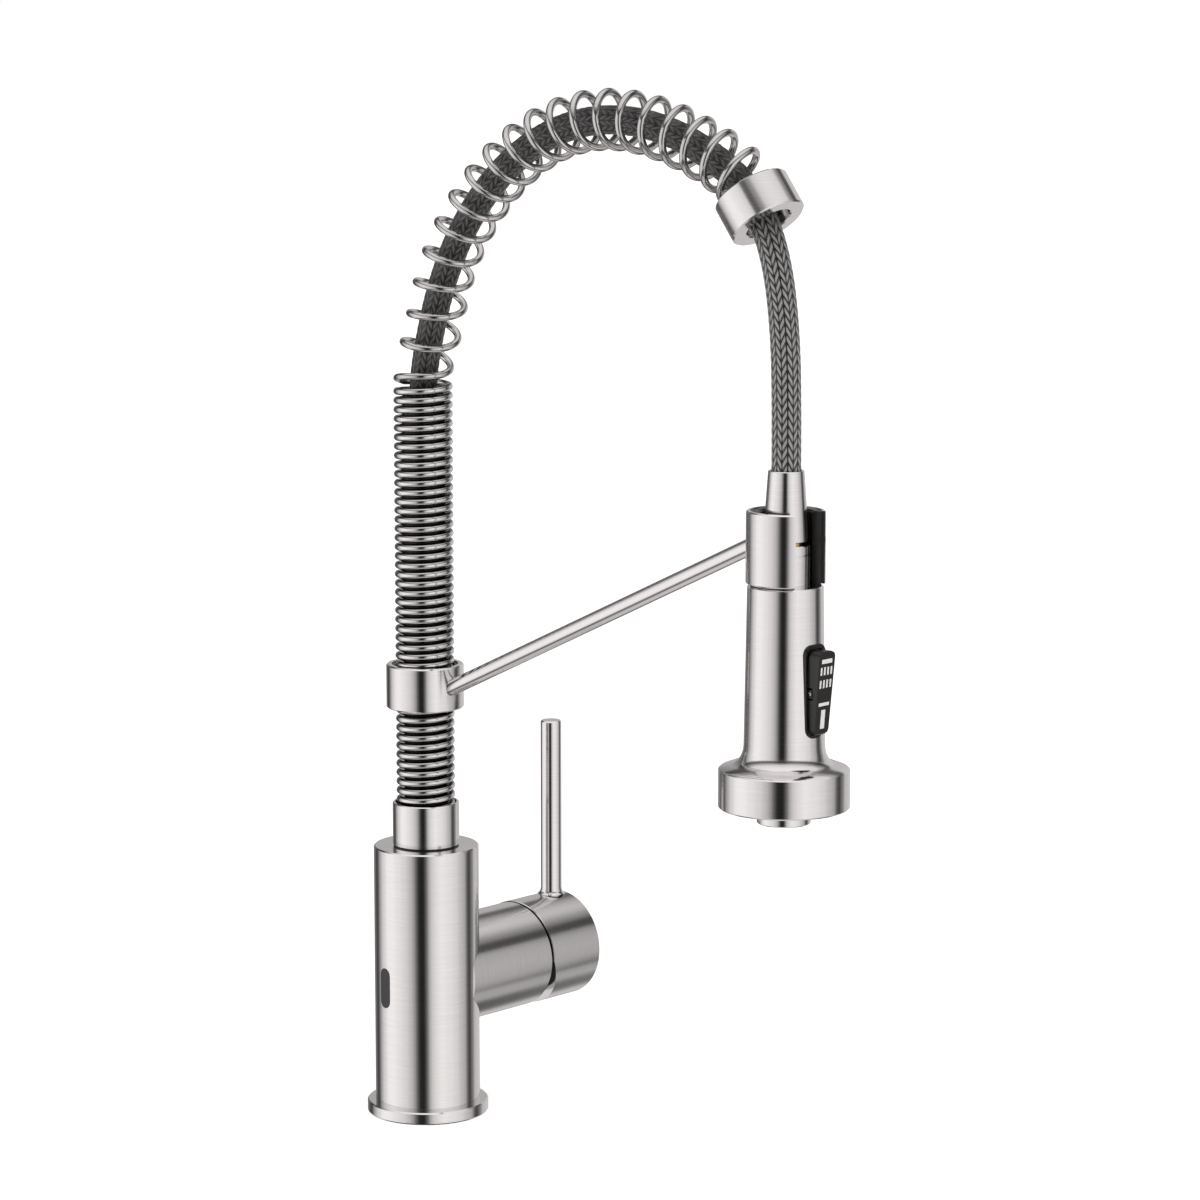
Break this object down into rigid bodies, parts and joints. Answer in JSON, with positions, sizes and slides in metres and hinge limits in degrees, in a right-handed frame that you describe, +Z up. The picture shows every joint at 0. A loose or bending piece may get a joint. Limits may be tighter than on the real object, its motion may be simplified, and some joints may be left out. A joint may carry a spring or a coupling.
{
  "type": "kitchen faucet",
  "caption": "Deck-mounted spring-spout kitchen faucet with a pull-down spray head on a dock arm and a side lever.",
  "frame": {"origin": "centre of the base on the deck plane", "axes": "+Z up, +X along the spout's reach towards the user, +Y towards the lever"},
  "size_m": [0.2683, 0.1186, 0.5325],
  "materials": {
    "brushed_steel": "fine circumferential brushing, satin nickel tone",
    "spring_steel": "drawn and plated spring wire, satin",
    "machined_steel": "machined stainless steel, plain turned",
    "brass": "turned brass, unplated",
    "black_plastic": "moulded black plastic, satin",
    "grey_plastic": "moulded plastic, matte",
    "white_plastic": "moulded acetal, matte",
    "sensor_lens": "smoked gloss plastic",
    "ceramic": "lapped ceramic, stood in for by matte plastic",
    "black_rubber": "moulded rubber, matte",
    "hose_braid": "tight herringbone nylon braid, dark grey"
  },
  "bodies": {
    "faucet_body": {"main_body": "brushed_steel", "base_flange": "brushed_steel", "base_gasket": "black_rubber", "mounting_shank": "brass", "rubber_washer": "black_rubber", "steel_washer": "machined_steel", "mounting_nut": "brass", "jack_screws": "machined_steel", "sensor_window": "sensor_lens", "sensor_module": "black_plastic", "valve_housing": "brushed_steel", "cartridge_can": "grey_plastic", "cartridge_seals": "black_rubber", "fixed_disc": "ceramic", "cartridge_nut": "brass", "bonnet": "black_plastic", "swivel_bush": "black_plastic"},
    "lever_carrier": {"stem_carrier": "white_plastic", "pivot_pin": "machined_steel", "moving_disc": "ceramic"},
    "lever": {"lever_hub": "brushed_steel", "lever_rod": "brushed_steel", "cartridge_stem": "machined_steel", "hub_grub_screw": "machined_steel", "hub_plug": "black_rubber"},
    "spout": {"spring_seat": "brushed_steel", "swivel_clip": "machined_steel", "swivel_rings": "black_rubber", "support_tube": "black_plastic", "column_spring": "spring_steel", "arch_spring": "spring_steel", "guide_ring": "brushed_steel", "arm_collar": "brushed_steel", "collar_liner": "black_plastic", "collar_grub_screw": "machined_steel", "arm_rod": "brushed_steel", "dock_ring": "brushed_steel", "dock_liner": "black_plastic", "dock_grub_screw": "machined_steel", "hose_connector": "brass"},
    "hose_end": {"spray_hose": "hose_braid", "hose_nut": "brushed_steel", "hose_ferrule": "machined_steel", "hose_washer": "black_rubber", "swivel_coupling": "brass"},
    "spray_head": {"spray_shell": "brushed_steel", "button_panel": "black_plastic", "water_core": "grey_plastic", "check_valve": "white_plastic", "diverter_spool": "white_plastic", "spray_plate": "black_plastic", "spray_nozzles": "black_rubber", "plate_gasket": "black_rubber", "aerator": "brushed_steel", "aerator_screen": "machined_steel", "rocker_pin": "machined_steel"},
    "mode_rocker": {"rocker_button": "black_plastic"}
  },
  "joints": [
    {"name": "spout_swivel", "type": "hinge", "parent": "faucet_body", "child": "spout", "pos_m": [0, 0, 0.1], "axis": [0, 0, 1], "range_deg": [-180, 180]},
    {"name": "spray_pull", "type": "slide", "parent": "spout", "child": "hose_end", "axis": [0, 0, -1], "range_m": [0, 0.15], "deforming": ["spray_hose"]},
    {"name": "head_spin", "type": "hinge", "parent": "hose_end", "child": "spray_head", "pos_m": [0.2128, 0, 0.275], "axis": [0, 0, 1], "continuous": true},
    {"name": "mode_rock", "type": "hinge", "parent": "spray_head", "child": "mode_rocker", "pos_m": [0.2301, 0, 0.224], "axis": [0, -1, 0], "range_deg": [0, 6]},
    {"name": "temperature_turn", "type": "hinge", "parent": "faucet_body", "child": "lever_carrier", "pos_m": [0, 0.05, 0.0628], "axis": [0, 1, 0], "range_deg": [0, 90]},
    {"name": "flow_tilt", "type": "hinge", "parent": "lever_carrier", "child": "lever", "pos_m": [0, 0.05, 0.0628], "axis": [-1, 0, 0], "range_deg": [0, 12]}
  ]
}
